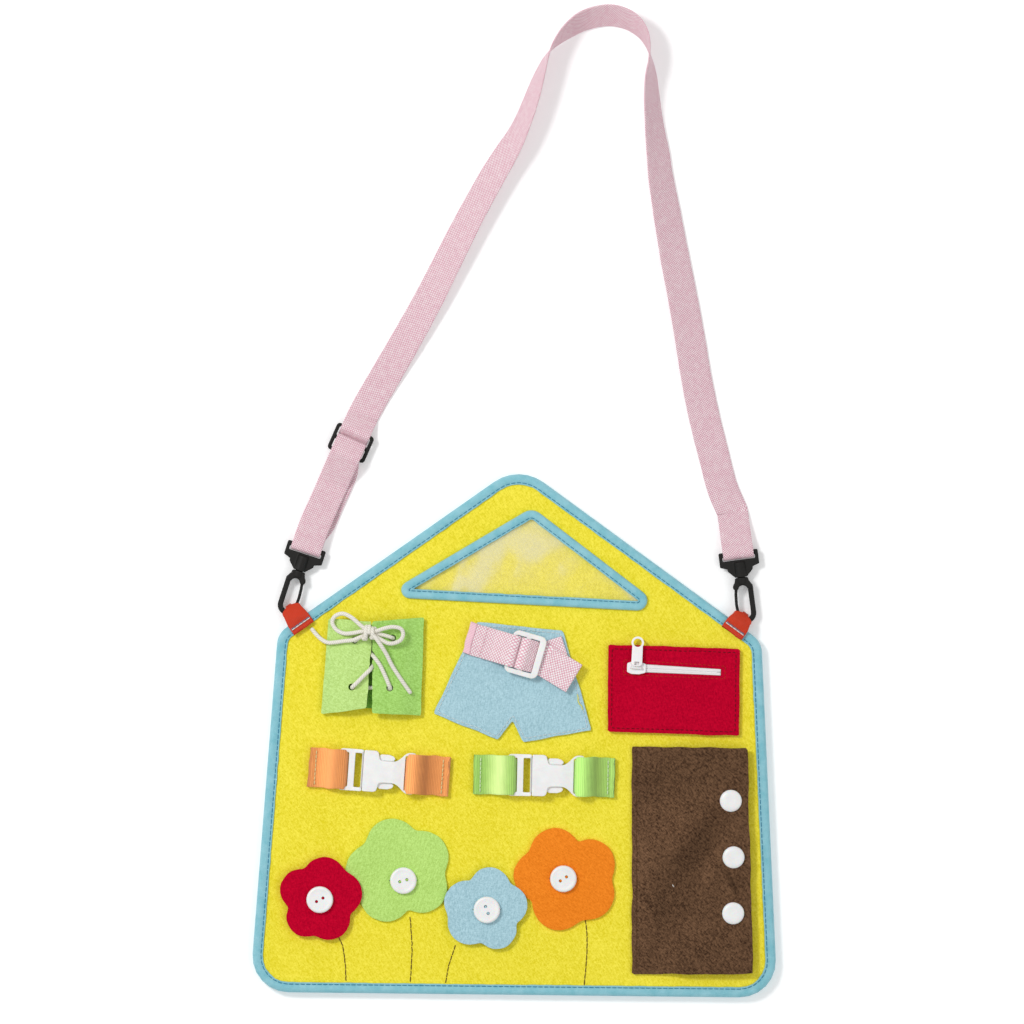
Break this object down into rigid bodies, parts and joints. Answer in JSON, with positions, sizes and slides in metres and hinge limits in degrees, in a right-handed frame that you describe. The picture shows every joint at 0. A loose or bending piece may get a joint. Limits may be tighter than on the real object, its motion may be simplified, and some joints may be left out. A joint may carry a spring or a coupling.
{
  "type": "dressing skills board",
  "caption": "Flat felt house board with laces, a belt, a zip, side-release buckles, snaps and button flowers to practise on, and a hooked shoulder strap.",
  "frame": {"origin": "middle of the board's underside, as it lies on its back", "axes": "+X to the board's right, +Y towards the gable, +Z out of its front"},
  "size_m": [0.3332, 0.6317, 0.0221],
  "materials": {
    "yellow_felt": "matte felt",
    "core": "matte",
    "blue_binding": "matte woven",
    "clear_vinyl": "clear gloss",
    "red_ribbon": "ribbed",
    "green_felt": "matte felt",
    "dark_green_felt": "matte felt",
    "white_cotton": "matte braid",
    "blue_felt": "matte felt",
    "pink_webbing": "matte woven",
    "white_plastic": "satin",
    "red_felt": "matte felt",
    "white_nylon": "satin",
    "orange_webbing": "ribbed",
    "green_webbing": "ribbed",
    "brown_felt": "matte felt",
    "orange_felt": "matte felt",
    "black_plastic": "satin"
  },
  "bodies": {
    "board": {"front_felt": "yellow_felt", "core_board": "core", "back_felt": "yellow_felt", "edge_binding": "blue_binding", "window_sheet": "clear_vinyl", "window_binding": "blue_binding", "left_hook_tab": "red_ribbon", "right_hook_tab": "red_ribbon", "lace_backing": "dark_green_felt", "lace_left_flap": "green_felt", "lace_right_flap": "green_felt", "lace": "white_cotton", "shorts_felt": "blue_felt", "belt_left_strap": "pink_webbing", "belt_right_strap": "pink_webbing", "pocket_panel": "red_felt", "zip_tape": "white_nylon", "zip_coil": "white_nylon", "orange_left_tab": "orange_webbing", "orange_socket": "white_plastic", "orange_right_tab": "orange_webbing", "green_left_tab": "green_webbing", "green_socket": "white_plastic", "green_right_tab": "green_webbing", "door_stud_1": "white_plastic", "door_stud_2": "white_plastic", "door_stud_3": "white_plastic", "red_button": "white_plastic", "green_button": "white_plastic", "blue_button": "white_plastic", "orange_button": "white_plastic", "shoulder_strap": "pink_webbing", "left_hook_base": "black_plastic", "right_hook_base": "black_plastic"},
    "belt_buckle": {"belt_buckle": "white_plastic"},
    "zip_slider": {"zip_slider": "white_plastic"},
    "zip_pull": {"zip_pull": "white_plastic"},
    "orange_clip": {"orange_clip": "white_plastic"},
    "orange_upper_arm": {"orange_upper_arm": "white_plastic"},
    "orange_lower_arm": {"orange_lower_arm": "white_plastic"},
    "green_clip": {"green_clip": "white_plastic"},
    "green_upper_arm": {"green_upper_arm": "white_plastic"},
    "green_lower_arm": {"green_lower_arm": "white_plastic"},
    "door": {"door_panel": "brown_felt", "door_cap_1": "white_plastic", "door_cap_2": "white_plastic", "door_cap_3": "white_plastic", "door_socket_1": "white_plastic", "door_socket_2": "white_plastic", "door_socket_3": "white_plastic"},
    "red_flower": {"red_flower": "red_felt"},
    "green_flower": {"green_flower": "green_felt"},
    "blue_flower": {"blue_flower": "blue_felt"},
    "orange_flower": {"orange_flower": "orange_felt"},
    "strap_slider": {"strap_slider": "black_plastic"},
    "left_hook": {"left_hook": "black_plastic"},
    "left_hook_gate": {"left_hook_gate": "black_plastic"},
    "right_hook": {"right_hook": "black_plastic"},
    "right_hook_gate": {"right_hook_gate": "black_plastic"}
  },
  "joints": [
    {"name": "belt_buckle_tilt", "type": "hinge", "parent": "board", "child": "belt_buckle", "pos_m": [-0.00208, 0.05456, 0.013], "axis": [-0.2756, -0.9613, 0], "range_deg": [0, 30], "deforming": ["belt_right_strap"]},
    {"name": "zip_slide", "type": "slide", "parent": "board", "child": "zip_slider", "axis": [0.9986, -0.0523, 0], "range_m": [0, 0.042]},
    {"name": "zip_pull_swing", "type": "hinge", "parent": "zip_slider", "child": "zip_pull", "pos_m": [0.07774, 0.04333, 0.0137], "axis": [0.9986, -0.0523, 0], "range_deg": [0, 170]},
    {"name": "orange_clip_release", "type": "slide", "parent": "board", "child": "orange_clip", "axis": [-0.9976, 0.0698, 0], "range_m": [0, 0.02], "deforming": ["orange_left_tab"]},
    {"name": "orange_upper_arm_flex", "type": "hinge", "parent": "orange_clip", "child": "orange_upper_arm", "pos_m": [-0.09284, -0.01401, 0.01098], "axis": [0, 0, -1], "range_deg": [0, 6], "stiffness_Nm_per_rad": 0.05},
    {"name": "orange_lower_arm_flex", "type": "hinge", "parent": "orange_clip", "child": "orange_lower_arm", "pos_m": [-0.09395, -0.02997, 0.01098], "axis": [0, 0, 1], "range_deg": [0, 6], "stiffness_Nm_per_rad": 0.05},
    {"name": "green_clip_release", "type": "slide", "parent": "board", "child": "green_clip", "axis": [-0.9997, 0.0227, 0], "range_m": [0, 0.02], "deforming": ["green_left_tab"]},
    {"name": "green_upper_arm_flex", "type": "hinge", "parent": "green_clip", "child": "green_upper_arm", "pos_m": [0.01419, -0.01698, 0.01098], "axis": [0, 0, -1], "range_deg": [0, 6], "stiffness_Nm_per_rad": 0.05},
    {"name": "green_lower_arm_flex", "type": "hinge", "parent": "green_clip", "child": "green_lower_arm", "pos_m": [0.01383, -0.03298, 0.01098], "axis": [0, 0, 1], "range_deg": [0, 6], "stiffness_Nm_per_rad": 0.05},
    {"name": "door_open", "type": "hinge", "parent": "board", "child": "door", "pos_m": [0.07553, -0.07919, 0.00775], "axis": [0, -1, 0], "range_deg": [0, 140]},
    {"name": "red_flower_spin", "type": "hinge", "parent": "board", "child": "red_flower", "pos_m": [-0.12361, -0.10401, 0], "axis": [0, 0, 1], "continuous": true},
    {"name": "green_flower_spin", "type": "hinge", "parent": "board", "child": "green_flower", "pos_m": [-0.07051, -0.09198, 0], "axis": [0, 0, 1], "continuous": true},
    {"name": "blue_flower_spin", "type": "hinge", "parent": "board", "child": "blue_flower", "pos_m": [-0.0174, -0.11049, 0], "axis": [0, 0, 1], "continuous": true},
    {"name": "orange_flower_spin", "type": "hinge", "parent": "board", "child": "orange_flower", "pos_m": [0.0313, -0.09082, 0], "axis": [0, 0, 1], "continuous": true},
    {"name": "strap_slider_slide", "type": "slide", "parent": "board", "child": "strap_slider", "axis": [0.4035, 0.915, 0], "range_m": [-0.03, 0.02], "deforming": ["shoulder_strap"]},
    {"name": "left_hook_swivel", "type": "hinge", "parent": "board", "child": "left_hook", "pos_m": [-0.13221, 0.11967, 0.0043], "axis": [0.309, 0.9511, 0], "range_deg": [-20, 20], "deforming": ["left_hook_tab"]},
    {"name": "left_gate_flex", "type": "hinge", "parent": "left_hook", "child": "left_hook_gate", "pos_m": [-0.13485, 0.09824, 0.0043], "axis": [0, 0, -1], "range_deg": [0, 10], "stiffness_Nm_per_rad": 0.05},
    {"name": "right_hook_swivel", "type": "hinge", "parent": "board", "child": "right_hook", "pos_m": [0.14261, 0.11609, 0.0043], "axis": [-0.1305, 0.9914, 0], "range_deg": [-20, 20], "deforming": ["right_hook_tab"]},
    {"name": "right_gate_flex", "type": "hinge", "parent": "right_hook", "child": "right_hook_gate", "pos_m": [0.1413, 0.09453, 0.0043], "axis": [0, 0, 1], "range_deg": [0, 10], "stiffness_Nm_per_rad": 0.05}
  ]
}
